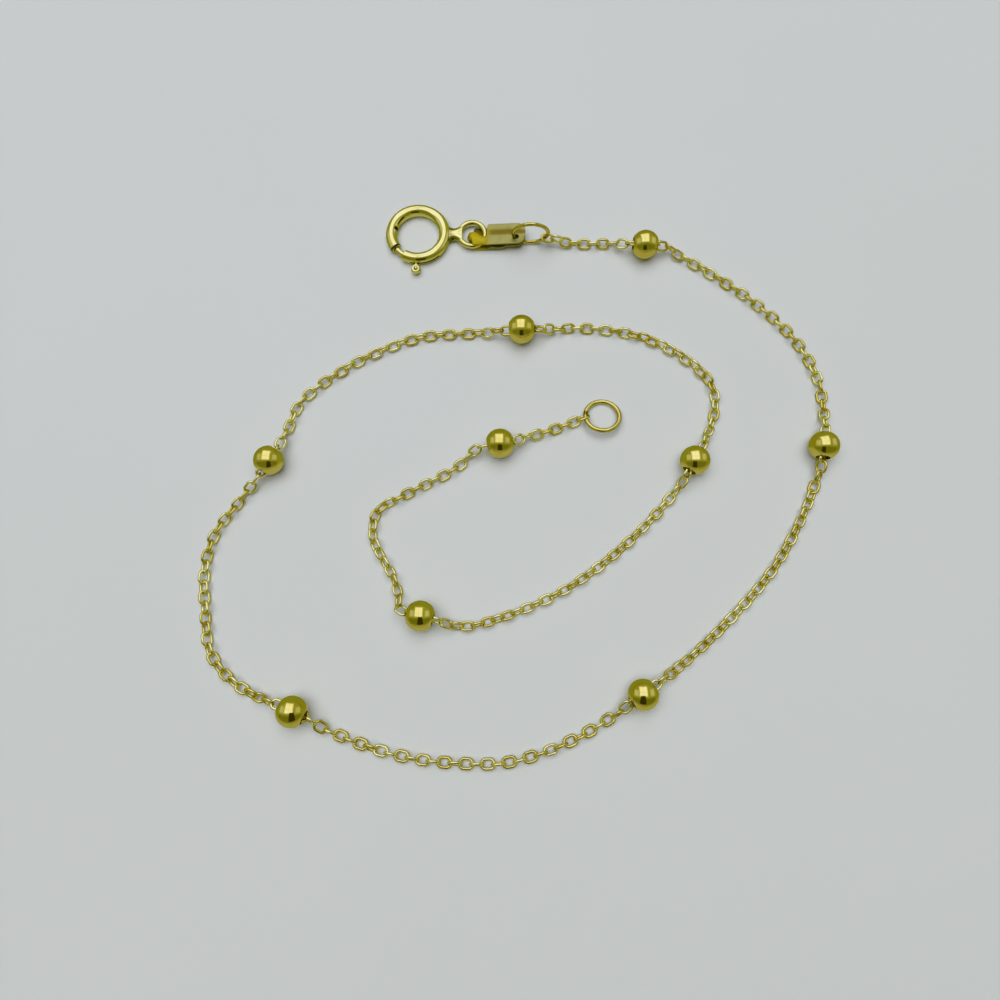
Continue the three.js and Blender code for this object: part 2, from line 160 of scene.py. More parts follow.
class Shader:
    """The node tree of one material or of the world."""

    def __init__(self, owner):
        owner.use_nodes = True
        self.tree = owner.node_tree
        self.tree.nodes.clear()

    def node(self, kind, settings=None, inputs=None, output=0):
        """Adds any node: its settings first, then the values or wires of its sockets."""
        made = self.tree.nodes.new(kind)
        for name, value in (settings or {}).items():
            setattr(made, name, value)
        for name, value in (inputs or {}).items():
            if isinstance(value, Wire):
                self.tree.links.new(value.socket, made.inputs[name])
            else:
                made.inputs[name].default_value = value
        return Wire(self, made.outputs[output]) if made.outputs else None

    def mix(self, share, first, second):
        """Colour first where share is 0 and second where it is 1."""
        inputs = dict(zip(MIX_INPUTS, (share, first, second)))
        return self.node("ShaderNodeMix", {"data_type": "RGBA"}, inputs, output=MIX_COLOUR)

    def place(self):
        return self.node("ShaderNodeTexCoord", output=PLACE_SOCKET)

    def direction(self):
        return self.node("ShaderNodeTexCoord", output=DIRECTION_SOCKET)

    def grain(self, place, size, detail=2.0, roughness=0.5):
        """Noise from 0 to 1 whose features are about size across."""
        inputs = {"Vector": place, "Scale": 1 / (size * MM), "Detail": detail, "Roughness": roughness}
        return self.node("ShaderNodeTexNoise", None, inputs)

    def attribute(self, name):
        return self.node("ShaderNodeAttribute", {"attribute_name": name}, output=ATTRIBUTE_SOCKET)

    def vector(self, operation, first, second=None, output=0):
        """One Vector Math node on one or two vectors."""
        inputs = {0: first} if second is None else {0: first, 1: second}
        return self.node("ShaderNodeVectorMath", {"operation": operation}, inputs, output)

    def bump(self, height, depth, strength):
        inputs = {"Height": height, "Distance": depth * MM, "Strength": strength}
        return self.node("ShaderNodeBump", None, inputs)

    def finish(self, kind, inputs, end="ShaderNodeOutputMaterial"):
        """Puts one shader node with these inputs at the end of the tree."""
        self.node(end, None, {"Surface": self.node(kind, None, inputs)})


def rgb(red, green, blue):
    return (red, green, blue, 1.0)


# Finishes

LEMON_GOLD = rgb(0.66, 0.57, 0.10)
DEEP_GOLD = rgb(0.60, 0.49, 0.06)
PALE_GOLD = rgb(0.68, 0.62, 0.15)
# Painted shade for the clasp's cut groove, notch, cut end, web flanks and knob hole, and the seam's dark
# line.
SHADE_AND_SEAM_GOLD = rgb(0.02, 0.013, 0.002)
# The tag's two tones are darker than the other gold's: painted shade for the darker reflection of its
# plate.
SHEET_GOLD = rgb(0.34, 0.315, 0.052)
SHEET_DEEP_GOLD = rgb(0.30, 0.27, 0.042)
# Tone of the tag's painted shade and darker band, and of the end ring's darker spot.
SHADE_GOLD = rgb(0.19, 0.135, 0.003)
# A painted warm reflection of gold in gold, on the tag's neck.
FOLD_REFLECTION_GOLD = rgb(0.50, 0.39, 0.008)
WIRE_PALE = rgb(0.60, 0.52, 0.09)
WIRE_DEEP = rgb(0.52, 0.42, 0.05)
LINK_PALE = rgb(0.80, 0.72, 0.20)
LINK_DEEP = rgb(0.64, 0.52, 0.065)
EDGE_TINT = rgb(0.8, 0.8, 0.5)
CARD_DEEP = rgb(0.562, 0.586, 0.560)
CARD_PALE = rgb(0.577, 0.601, 0.575)

CLOUD_SIZE = 0.9
CLOUD_TONE = (0.3, 0.75)
CLOUD_DULL = (0.55, 0.8)
CLOUD_ROUGHNESS = 0.04
WEAR_SIZE = 0.05
WEAR_DETAIL = 3.0
WEAR_FINENESS = 0.6
WEAR_ROUGHNESS = 0.05
MARK_ROUGHNESS = 0.1
RIPPLE_SIZE = 0.7
RIPPLE_DEPTH = 0.02
RIPPLE_DETAIL = 1.0

LINK_TONE = (0.1, 0.95)
LINK_POLISH = 0.03
LINK_TONE_ROUGHNESS = 0.07
LINK_WEAR_SIZE = 0.04
LINK_WEAR_ROUGHNESS = 0.04
LINK_RIPPLE_SIZE = 0.12
LINK_RIPPLE_DEPTH = 0.004
LINK_RIPPLE = 0.4

CARD_CLOUD_SIZE = 25.0
CARD_ROUGHNESS = 0.75


def finish_gold(shader, colour, rough, normal):
    """Bare metal of this colour, with its tint at grazing angles."""
    shader.finish("ShaderNodeBsdfPrincipled", {
        "Base Color": colour,
        "Metallic": 1.0,
        "Specular Tint": EDGE_TINT,
        "Roughness": rough,
        "Normal": normal,
    })


def polished_gold(name, light, deep, roughness, ripple, marks=()):
    """Yellow gold: two close tones in soft clouds, fine polishing wear and a slight ripple.

    Where the attribute named by a mark is 1 the gold has the mark's tone and is duller. The marks paint
    shade and a warm reflection onto the gold, and draw a seam's line and a darker spot."""
    material = bpy.data.materials.new(name)
    shader = Shader(material)
    place = shader.place()
    clouds = shader.grain(place, CLOUD_SIZE)
    wear = shader.grain(place, WEAR_SIZE, WEAR_DETAIL, WEAR_FINENESS)
    colour = shader.mix(clouds.rise(*CLOUD_TONE), light, deep)
    rough = roughness + wear * WEAR_ROUGHNESS + clouds.rise(*CLOUD_DULL) * CLOUD_ROUGHNESS
    for mark, tone in marks:
        share = shader.attribute(mark)
        colour = shader.mix(share, colour, tone)
        rough = rough + share * MARK_ROUGHNESS
    waves = shader.grain(place, RIPPLE_SIZE, RIPPLE_DETAIL)
    finish_gold(shader, colour, rough, shader.bump(waves, RIPPLE_DEPTH, ripple))
    return material


def link_gold():
    """Gold wire whose links differ a little in tone and polish, by an attribute of each link."""
    material = bpy.data.materials.new("chain_gold")
    shader = Shader(material)
    place = shader.place()
    tone = shader.attribute("link_tone")
    wear = shader.grain(place, LINK_WEAR_SIZE, roughness=WEAR_FINENESS)
    colour = shader.mix(tone.rise(*LINK_TONE), LINK_PALE, LINK_DEEP)
    rough = LINK_POLISH + tone * LINK_TONE_ROUGHNESS + wear * LINK_WEAR_ROUGHNESS
    waves = shader.grain(place, LINK_RIPPLE_SIZE, RIPPLE_DETAIL)
    finish_gold(shader, colour, rough, shader.bump(waves, LINK_RIPPLE_DEPTH, LINK_RIPPLE))
    return material


def glowing(name, tone):
    """One even tone, whatever the light."""
    material = bpy.data.materials.new(name)
    Shader(material).finish("ShaderNodeEmission", {"Color": tone, "Strength": 1.0})
    return material


def pale_surface():
    """A smooth pale grey card with the faintest mottling."""
    material = bpy.data.materials.new("pale_card")
    shader = Shader(material)
    clouds = shader.grain(shader.place(), CARD_CLOUD_SIZE)
    colour = shader.mix(clouds, CARD_DEEP, CARD_PALE)
    shader.finish("ShaderNodeBsdfPrincipled", {"Base Color": colour, "Roughness": CARD_ROUGHNESS})
    return material


# Meshes

RING_STEPS = 96
RING_SIDES = 20
BALL_TURNS = 72
SHARP_ANGLE = 40


def quads(rows, columns, close_rows=False, close_columns=False):
    """Faces of a grid of points, as index rows, closed into a loop along either side."""
    i = np.arange(rows if close_rows else rows - 1)[:, None]
    j = np.arange(columns if close_columns else columns - 1)[None, :]
    right = (j + 1) % columns
    down = (i + 1) % rows
    corners = [i * columns + j, i * columns + right, down * columns + right, down * columns + j]
    return np.stack(np.broadcast_arrays(*corners), -1).reshape(-1, 4)


def joined(surfaces):
    """Several surfaces as one set of points and faces."""
    starts = np.cumsum([0] + [len(points) for points, _ in surfaces[:-1]])
    points = np.concatenate([points for points, _ in surfaces])
    faces = np.concatenate([faces + start for (_, faces), start in zip(surfaces, starts)])
    return points, faces


def outward(points, faces):
    """The faces turned so that the closed surface encloses a positive volume."""
    a, b, c, d = (points[faces[:, k]] for k in range(4))
    volume = np.einsum("ij,ij->", a, np.cross(b, c)) + np.einsum("ij,ij->", a, np.cross(c, d))
    return faces if volume > 0 else faces[:, ::-1]


def moved(surface, offset):
    points, faces = surface
    return points + offset, faces


def mesh_of(name, points, faces):
    """A mesh in metres from points in millimetres."""
    mesh = bpy.data.meshes.new(name)
    mesh.from_pydata((np.asarray(points, float) * MM).tolist(), [], np.asarray(faces).tolist())
    return mesh


def add_piece(name, surface, material, nodes, body="anklet", sharp=SHARP_ANGLE, attributes=None):
    """Puts a surface into a mesh that rides on a body and replaces the solids named in nodes."""
    mesh = mesh_of(name, *surface)
    mesh.polygons.foreach_set("use_smooth", np.ones(len(mesh.polygons), bool))
    mesh.set_sharp_from_angle(angle=math.radians(sharp))
    for key, values in (attributes or {}).items():
        layer = mesh.attributes.new(key, "FLOAT", "POINT")
        layer.data.foreach_set("value", values.astype(np.float32))
    mesh.materials.append(material)
    mesh.update()
    piece = bpy.data.objects.new(name, mesh)
    bpy.context.scene.collection.objects.link(piece)
    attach(piece, body)
    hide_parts(*nodes)
    return piece


def revolved(profile, middle, axis, steps):
    """A closed profile of (radius, height) turned about an axis by t: the middle + radius across the axis,
    (cos t, sin t), + height along it."""
    axis = np.asarray(axis, float) / np.linalg.norm(axis)
    first = np.cross(axis, [0, 0, 1.0])
    if np.linalg.norm(first) < TINY:
        first = np.array([1.0, 0, 0])
    first = first / np.linalg.norm(first)
    second = np.cross(axis, first)
    t = np.linspace(0, TURN, steps, endpoint=False)[:, None, None]
    radius = profile[None, :, :1]
    height = profile[None, :, 1:]
    points = middle + radius * (np.cos(t) * first + np.sin(t) * second) + height * axis
    points = points.reshape(-1, 3)
    return points, outward(points, quads(steps, len(profile), True, True))


def wire_ring(radius, wire, middle, tilt=0.0):
    """A ring of round wire in the XY plane, tilted about X: a circle carried round a circle."""
    v = np.linspace(0, TURN, RING_SIDES, endpoint=False)
    profile = np.stack([radius + wire * np.cos(v), wire * np.sin(v)], -1)
    axis = (0, -math.sin(tilt), math.cos(tilt))
    return revolved(profile, np.asarray(middle, float), axis, RING_STEPS)


def smooth_step(t):
    """0 up to 0, 1 from 1 and 3 t^2 - 2 t^3 between them."""
    t = np.clip(t, 0, 1)
    return t * t * (3 - 2 * t)


def fall(distance, level, run):
    """1 as far as level, falling smoothly to 0 over run."""
    return 1 - smooth_step((distance - level) / run)


# The chain's line

CHAIN_HEIGHT = 0.48
BALL_RADIUS = 1.25
START_HEIGHT = 1.16
END_HEIGHT = 0.52
END_RUN = 2.6
BORE_RUN = 1.15
BEND_RUN = 1.6
SINK_RUN = 2.6
CURVE_STEPS = 40


def smooth_curve(corners, steps):
    """A centripetal Catmull-Rom curve: each span a cubic with its ends' slopes set by root distances."""
    ends = [2 * corners[0] - corners[1]], [2 * corners[-1] - corners[-2]]
    knots = np.concatenate([ends[0], corners, ends[1]])
    gaps = np.sqrt(np.linalg.norm(np.diff(knots, axis=0), axis=1))[:, None]
    p0, p1, p2, p3 = knots[:-3], knots[1:-2], knots[2:-1], knots[3:]
    d0, d1, d2 = gaps[:-2], gaps[1:-1], gaps[2:]
    leave = ((p1 - p0) / d0 - (p2 - p0) / (d0 + d1) + (p2 - p1) / d1) * d1
    arrive = ((p2 - p1) / d1 - (p3 - p1) / (d1 + d2) + (p3 - p2) / d2) * d1
    t = np.linspace(0, 1, steps, endpoint=False)[None, :, None]
    p1, p2, leave, arrive = (a[:, None, :] for a in (p1, p2, leave, arrive))
    spans = p1 + leave * t + (3 * (p2 - p1) - 2 * leave - arrive) * t**2
    spans = spans + (2 * (p1 - p2) + leave + arrive) * t**3
    return np.concatenate([spans.reshape(-1, corners.shape[1]), corners[-1:]])


line = smooth_curve(ROUTE[:, :2] + CENTRING, CURVE_STEPS)
line_along = np.concatenate([[0], np.cumsum(np.linalg.norm(np.diff(line, axis=0), axis=1))])
route_length = line_along[-1]


def flat_point(along):
    return np.stack([np.interp(along, line_along, line[:, k]) for k in (0, 1)], -1)


ball_middles = ROUTE[ROUTE[:, 2] == 1, :2] + CENTRING
ball_stations = line_along[CURVE_STEPS * np.flatnonzero(ROUTE[:, 2] == 1)]
ball_bores = flat_point(ball_stations + BORE_RUN) - flat_point(ball_stations - BORE_RUN)
ball_bores = ball_bores / np.linalg.norm(ball_bores, axis=1, keepdims=True)


def route_point(along):
    """The chain's middle line: straight through each ball, sinking to the surface past it."""
    point = flat_point(along)
    for station, middle, bore in zip(ball_stations, ball_middles, ball_bores):
        offset = (along - station)[:, None]
        share = fall(abs(offset), BORE_RUN, BEND_RUN)
        point = point * (1 - share) + (middle + bore * offset) * share
    to_ball = np.min(abs(along[:, None] - ball_stations), axis=1)
    lifts = [
        (BALL_RADIUS - CHAIN_HEIGHT) * fall(to_ball, BORE_RUN, SINK_RUN),
        (START_HEIGHT - CHAIN_HEIGHT) * fall(along, 0, END_RUN),
        (END_HEIGHT - CHAIN_HEIGHT) * fall(route_length - along, 0, END_RUN),
    ]
    return np.column_stack([point, CHAIN_HEIGHT + np.max(lifts, axis=0)])


# Chain links

LINK_LENGTH = 1.32
LINK_WIDTH = 1.02
LINK_WIRE = 0.24
LINK_STEPS = 12
LINK_SIDES = 6
LINK_REACH = 0.35
LINK_LEAST_HEIGHT = 0.3
LINK_SMOOTH = 180
ROLL_SPREAD = 8
INSIDE_BALL = 0.45
LINK_SEAT = 0.205

# Each stretch of chain: a station where a link lies flat, and the pitch of its links.
STRETCHES = np.array([
    (0.205, 0.855), (14.12, 0.858), (39.61, 0.858), (78.55, 0.859), (111.56, 0.858),
    (135.01, 0.860), (152.56, 0.857), (187.0, 0.858), (218.26, 0.857), (230.72, 0.857),
])

# How far the links are rolled about the chain: station in millimetres and degrees.
ROLLS = np.array([
    (0, 4), (1.3, 2), (2.4, 20), (5, 28), (9, 25), (12, 15), (17.4, 18), (20, 42), (36, 45),
    (63, 45), (64.5, 18), (72, 8), (82, 12), (91, 12), (95, 30), (99, 45), (112, 45), (116, 30),
    (119, 35), (126, 28), (128.5, 12), (144, 10), (148, 45), (151, 40), (152, 14), (155.5, 12),
    (157.2, 80), (163, 78), (166, 45), (173, 45), (176, 30), (198, 32), (202, 45), (213, 45),
    (214.5, 18), (222, 16), (226, 15), (231, 20), (232.5, 60),
])


def link_ring():
    """One oval link: a circle of wire carried round a circle whose two halves are pulled apart."""
    turn = TURN * (np.arange(LINK_STEPS) + 0.5) / LINK_STEPS
    around = TURN * np.arange(LINK_SIDES) / LINK_SIDES
    middle = (LINK_WIDTH - LINK_WIRE) / 2
    spread = (LINK_LENGTH - LINK_WIDTH) / 2
    radius = middle + LINK_WIRE / 2 * np.cos(around)
    x = radius * np.cos(turn)[:, None] + np.sign(np.cos(turn))[:, None] * spread
    y = radius * np.sin(turn)[:, None]
    z = np.broadcast_to(LINK_WIRE / 2 * np.sin(around), x.shape)
    points = np.stack([x, y, z], -1).reshape(-1, 3)
    return points, outward(points, quads(LINK_STEPS, LINK_SIDES, True, True))


def link_stations(low, high, anchor, pitch):
    """Stations of a stretch's links between two ends, and whether each one is an odd one."""
    first = math.ceil((low - TINY - anchor) / pitch)
    last = math.floor((high + TINY - anchor) / pitch)
    numbers = np.arange(first, last + 1)
    return anchor + numbers * pitch, numbers % 2


def placed_links(along, odd, seed):
    """Copies of the link along the line: each is turned a quarter from the last and a little astray."""
    rng = np.random.default_rng(seed)
    middle = route_point(along)
    forward = route_point(along + LINK_REACH) - route_point(along - LINK_REACH)
    forward = forward / np.linalg.norm(forward, axis=1, keepdims=True)
    side = np.cross([0, 0, 1.0], forward)
    side = side / np.linalg.norm(side, axis=1, keepdims=True)
    up = np.cross(forward, side)
    astray = rng.normal(0, ROLL_SPREAD, len(along))
    roll = np.interp(along, ROLLS[:, 0], ROLLS[:, 1]) + astray + 90 * odd
    roll = np.radians(roll)[:, None]
    across = np.cos(roll) * side + np.sin(roll) * up
    normal = np.cross(forward, across)
    resting = LINK_WIRE / 2 + (LINK_WIDTH - LINK_WIRE) / 2 * abs(np.sin(roll[:, 0]))
    middle[:, 2] += np.maximum(resting, LINK_LEAST_HEIGHT) - CHAIN_HEIGHT
    points, faces = link_ring()
    copies = middle[:, None] + (
        points[None, :, :1] * forward[:, None]
        + points[None, :, 1:2] * across[:, None]
        + points[None, :, 2:] * normal[:, None]
    )
    starts = (np.arange(len(along)) * len(points))[:, None, None]
    tone = np.repeat(rng.uniform(0, 1, len(along)), len(points))
    return (copies.reshape(-1, 3), (faces + starts).reshape(-1, 4)), tone


def add_chain(material):
    """Ten stretches of links, from the jump ring through the balls to the end ring."""
    first = LINK_SEAT - INSIDE_BALL
    last = route_length - LINK_SEAT + INSIDE_BALL
    stops = np.concatenate([[first], ball_stations, [last]])
    for i, (anchor, pitch) in enumerate(STRETCHES):
        along, odd = link_stations(stops[i] + INSIDE_BALL, stops[i + 1] - INSIDE_BALL, anchor, pitch)
        surface, tone = placed_links(along, odd, seed=i)
        add_piece(
            f"links_{i + 1}", surface, material, [f"chain_{i + 1}"],
            sharp=LINK_SMOOTH, attributes={"link_tone": tone},
        )


# Balls

BALL_INNER = 1.05
HOLE_RADIUS = 0.58
LIP = 0.05
OUTER_STEPS = 45
LIP_STEPS = 4
INNER_STEPS = 17


def ball_profile():
    """Half of a drilled hollow ball cut through its bore: outer arc, rounded lip, bore and inner arc."""
    outer_start = math.asin(HOLE_RADIUS / BALL_RADIUS) + LIP / BALL_RADIUS
    a = np.linspace(outer_start, math.pi - outer_start, OUTER_STEPS)
    outer = BALL_RADIUS * np.stack([np.sin(a), np.cos(a)], -1)
    corner = np.array([HOLE_RADIUS, BALL_RADIUS * math.cos(outer_start - LIP / BALL_RADIUS)])
    wall = corner - [0, LIP]
    t = np.linspace(0, 1, LIP_STEPS + 1)[1:, None]
    lip = (1 - t) ** 2 * outer[-1] + 2 * t * (1 - t) * corner * [1, -1] + t**2 * wall * [1, -1]
    inner_start = math.asin(HOLE_RADIUS / BALL_INNER)
    b = np.linspace(math.pi - inner_start, inner_start, INNER_STEPS)
    inner = BALL_INNER * np.stack([np.sin(b), np.cos(b)], -1)
    return np.concatenate([outer, lip, inner, lip[::-1] * [1, -1]])


def add_balls(material):
    """A ball at each station, its bore along the chain."""
    profile = ball_profile()
    for i, (middle, bore) in enumerate(zip(ball_middles, ball_bores)):
        surface = revolved(profile, np.array([*middle, BALL_RADIUS]), (*bore, 0), BALL_TURNS)
        add_piece(f"ball_{i + 1}", surface, material, [f"bead_{i + 1}"])


# Clasp

# Angles round the clasp and its parts' spans are in degrees. Angles round the tube's own section are in
# radians, from its outer side over the top.
CLASP = np.array([-9.36, 21.98, 0.5]) + (*CENTRING, 0)
CLASP_RADIUS = 2.445
CLASP_SHARP = 32
TUBE = 0.505
TUBE_BORE = 0.34
TUBE_SPAN = (240.0, 577.5)
TUBE_BEVEL = 0.9
SLOT_SPAN = (257.0, 312.0)
SLOT_HALF_HEIGHT = 0.095
SLOT_COLUMNS = 6
WALL_COLUMNS = 42
# The cut end: painted groove shadow from END_GAP to END_EDGE degrees before it, painted shade on its face.
END_GAP = 4.0
END_EDGE = 0.2
END_BEVEL = 0.035
END_LIP = 0.3
END_SHADE = 0.35
CUT_RUN = 6.0
CUT_BEVEL = 0.5
# Rows along the tube: before the slot, over it, on to the cut end's run, and in that run.
TUBE_ROWS = (10, 38, 170, 12)
SEAM_SPAN = (490.0, 515.0)
SEAM_SIDE = 2.56
SEAM_HALF = 0.15
# A notch in the inner wall drawn only as painted shade: angle round the clasp, half span, side, half width.
NOTCH_ANGLE = 527.0
NOTCH_HALF_ANGLE = 4.6
NOTCH_SIDE = 2.72
NOTCH_HALF = 0.64

LEVER_SPAN = (204.0, 274.0)
LEVER_WIRE = 0.26
GATE_STEPS = 64
GATE_SIDES = 20
GATE_ROUNDING = 0.07
POINT_RADIUS = 1e-3
KNOB_ANGLE = math.radians(268)
KNOB_SIDE = np.array([math.cos(KNOB_ANGLE), math.sin(KNOB_ANGLE), 0])
KNOB_REACH = 3.56
KNOB_RADIUS = 0.42
KNOB_TOP = 0.25
KNOB_POLE = 0.02
KNOB_POINT = 1e-4
KNOB_STEPS = 49
KNOB_TURNS = 36
KNOB_HOLE = 0.13
KNOB_HOLE_SOFT = 0.05
KNOB_HOLE_DEPTH = 0.35
KNOB_HOLE_RIM = 0.02
# How dark the painted shade in the knob's hole is.
KNOB_SHADE = 0.6
STEM_IN_SLOT = 0.085
STEM = 0.21
STEM_GROWTH = 0.12
STEM_STEPS = 24
STEM_SIDES = 18

WEB_SPAN = (2.72, 4.06)
WEB_WAIST_X = 3.36
WEB_WAIST = 0.60
WEB_FLARE = 0.75
WEB_THICK = (0.30, 0.34)
WEB_RIDGE = 1.7
WEB_RIDGE_START = 0.2
WEB_RIDGE_RUN = 0.9
WEB_ROWS = 32
WEB_SIDES = 44
# Painted shade on the web's flanks, leaving a painted V of light that widens towards the eyelet.
WEB_LIGHT_SPAN = (3.285, 4.135)
WEB_LIGHT_SOFT = 0.65
WEB_SHADE = 0.5
EYELET_X = 5.0
EYELET_RADIUS = 1.19
EYELET_WIRE = 0.24


def bent(angles, radius, around):
    """Points of a tube bent in a circle: (R + r cos v)(cos u, sin u) and r sin v, r by row."""
    u = np.radians(angles)[:, None]
    out = CLASP_RADIUS + radius[:, None] * np.cos(around)
    return np.stack([out * np.cos(u), out * np.sin(u), radius[:, None] * np.sin(around) + 0 * u], -1)


def tube_angles():
    """Angles of the tube's rows, with a bevel at each end and rows at the slot's ends."""
    low, high = TUBE_SPAN
    before, over, onward, in_run = TUBE_ROWS
    return np.concatenate([
        [low, low + TUBE_BEVEL],
        np.linspace(low + 2 * TUBE_BEVEL, SLOT_SPAN[0], before)[:-1],
        np.linspace(*SLOT_SPAN, over)[:-1],
        np.linspace(SLOT_SPAN[1], high - CUT_RUN, onward)[:-1],
        np.linspace(high - CUT_RUN, high - CUT_BEVEL, in_run),
        [high],
    ])


def tube_columns(radius):
    """Angles round the section: from one edge of the slot over the tube to the other, then across it."""
    edge = math.asin(SLOT_HALF_HEIGHT / radius)
    return np.concatenate([
        np.linspace(edge, TURN - edge, WALL_COLUMNS + 1),
        np.linspace(TURN - edge, TURN + edge, SLOT_COLUMNS + 1)[1:-1],
    ])


def tube_skin(angles, radius, end_radii):
    """One skin of the tube, whose first and last rows have radii of their own."""
    by_row = np.full(len(angles), radius)
    by_row[[0, -1]] = end_radii
    return bent(angles, by_row, tube_columns(radius)).reshape(-1, 3)


def slot_loop(grid, slot_rows):
    """The slot's edge as one loop of the grid's points."""
    rows = np.arange(slot_rows[0], slot_rows[-1] + 2)
    columns = np.append(np.arange(WALL_COLUMNS, WALL_COLUMNS + SLOT_COLUMNS), 0)
    return np.concatenate([
        grid[rows, 0],
        grid[rows[-1], columns[::-1]][1:],
        grid[rows, WALL_COLUMNS][::-1][1:],
        grid[rows[0], columns][1:-1],
    ])


def wall_faces(loop, shift):
    """Faces between a closed loop of points and the same loop shift further on."""
    after = np.roll(loop, -1)
    return np.stack([loop, loop + shift, after + shift, after], -1)


def tube_shade_and_seam(angles):
    """How dark the tube is by row and column: 1 for a painted shadow of a groove behind the cut, for the
    seam's dark line and for painted shade in the notch, and END_SHADE of painted shade on the cut end.
    """
    turn = angles[:, None]
    around = tube_columns(TUBE_BORE)
    high = TUBE_SPAN[1]
    groove_shadow = (turn > high - END_GAP) & (turn < high - END_EDGE)
    seam = (turn > SEAM_SPAN[0]) & (turn < SEAM_SPAN[1]) & (abs(around - SEAM_SIDE) < SEAM_HALF)
    notch = (abs(turn - NOTCH_ANGLE) < NOTCH_HALF_ANGLE) & (abs(around - NOTCH_SIDE) < NOTCH_HALF)
    mark = (groove_shadow | seam | notch).astype(float)
    mark[-1] = END_SHADE
    return mark


def tube_surface():
    """The clasp's tube: an outer and an inner skin on one grid, with the slot's faces left out of both
    and walls put between them round the slot and at the two cut ends. Its painted shade and its seam's
    dark line come with it."""
    angles = tube_angles()
    outer = tube_skin(angles, TUBE, TUBE - END_BEVEL)
    inner = tube_skin(angles, TUBE_BORE, [TUBE_BORE + END_BEVEL, END_LIP])
    rows, columns = len(angles), WALL_COLUMNS + SLOT_COLUMNS
    grid = np.arange(rows * columns).reshape(rows, columns)
    faces = quads(rows, columns, False, True).reshape(rows - 1, columns, 4)
    in_slot = (angles[:-1] >= SLOT_SPAN[0] - TINY) & (angles[1:] <= SLOT_SPAN[1] + TINY)
    kept = np.ones((rows - 1, columns), bool)
    kept[np.ix_(in_slot, np.arange(columns) >= WALL_COLUMNS)] = False
    skin = faces[kept]
    shift = grid.size
    loops = [slot_loop(grid, np.flatnonzero(in_slot))[::-1], grid[0], grid[-1][::-1]]
    walls = [wall_faces(loop, shift) for loop in loops]
    points = np.concatenate([outer, inner])
    faces = np.concatenate([skin, skin[:, ::-1] + shift, *walls])
    return (points, faces), np.tile(tube_shade_and_seam(angles).ravel(), 2)


def capped(skin):
    """A grid closed round its columns, with its first and last rows drawn in to one point each."""
    rows, columns = skin.shape[:2]
    ends = skin[[0, -1]].mean(axis=1, keepdims=True)
    first = np.broadcast_to(ends[0], (1, columns, 3))
    last = np.broadcast_to(ends[1], (1, columns, 3))
    points = np.concatenate([first, skin, last]).reshape(-1, 3)
    return points, outward(points, quads(rows + 2, columns, False, True))


def rod(points, radius, sides):
    """A round rod along a line in one plane, with its ends closed: circles across the line."""
    along = np.gradient(points, axis=0)
    along = along / np.linalg.norm(along, axis=1, keepdims=True)
    up = np.broadcast_to([0, 0, 1.0], along.shape)
    across = np.cross(along, up)
    v = np.linspace(0, TURN, sides, endpoint=False)[None, :, None]
    radius = radius[:, None, None]
    skin = points[:, None] + radius * (np.cos(v) * across[:, None] + np.sin(v) * up[:, None])
    return capped(skin)


def rounded_ends(count, radius, share):
    """Radii along a rod that close it with half balls: sqrt(1 - (1 - s)^2) near each end."""
    s = np.linspace(0, 1, count)
    near = np.clip(np.minimum(s, 1 - s) / share, 0, 1)
    return radius * np.sqrt(1 - (1 - near) ** 2) + POINT_RADIUS


def web_surface():
    """The web between tube and eyelet: sections whose half width is least at the waist and whose top is a
    ridge by the tube, |sin v| to a high power, and round by the eyelet. Its painted shade darkens the
    flanks and leaves a painted V of light."""
    x = np.linspace(*WEB_SPAN, WEB_ROWS)
    width = WEB_WAIST + WEB_FLARE * (x - WEB_WAIST_X) ** 2
    share = smooth_step((x - WEB_SPAN[0] - WEB_RIDGE_START) / WEB_RIDGE_RUN)[:, None]
    power = WEB_RIDGE + (1 - WEB_RIDGE) * share
    thick = WEB_THICK[0] + (WEB_THICK[1] - WEB_THICK[0]) * share
    v = np.linspace(0, TURN, WEB_SIDES, endpoint=False)
    c, s = np.cos(v), np.sin(v)
    y = width[:, None] * c
    z = thick * np.sign(s) * abs(s) ** power
    start, stop = WEB_LIGHT_SPAN
    inside = (x[:, None] - start) / (stop - start)
    shade = WEB_SHADE * smooth_step((abs(c) - inside) / WEB_LIGHT_SOFT)
    shade = np.concatenate([shade[:1], shade, shade[-1:]])
    return capped(np.stack([np.broadcast_to(x[:, None], y.shape), y, z], -1)), shade.ravel()


def gate_surface():
    """The gate wire: a round rod along the tube's middle line."""
    angles = np.radians(np.linspace(*LEVER_SPAN, GATE_STEPS))
    middle = CLASP_RADIUS * np.stack([np.cos(angles), np.sin(angles), 0 * angles], -1)
    return rod(middle, rounded_ends(GATE_STEPS, LEVER_WIRE, GATE_ROUNDING), GATE_SIDES)


def stem_surface():
    """The stem from gate to knob: a straight rod, thin in the slot and stouter past the tube."""
    reach = np.linspace(CLASP_RADIUS, KNOB_REACH, STEM_STEPS)
    growth = smooth_step((reach - CLASP_RADIUS - TUBE) / STEM_GROWTH)
    return rod(reach[:, None] * KNOB_SIDE, STEM_IN_SLOT + (STEM - STEM_IN_SLOT) * growth, STEM_SIDES)


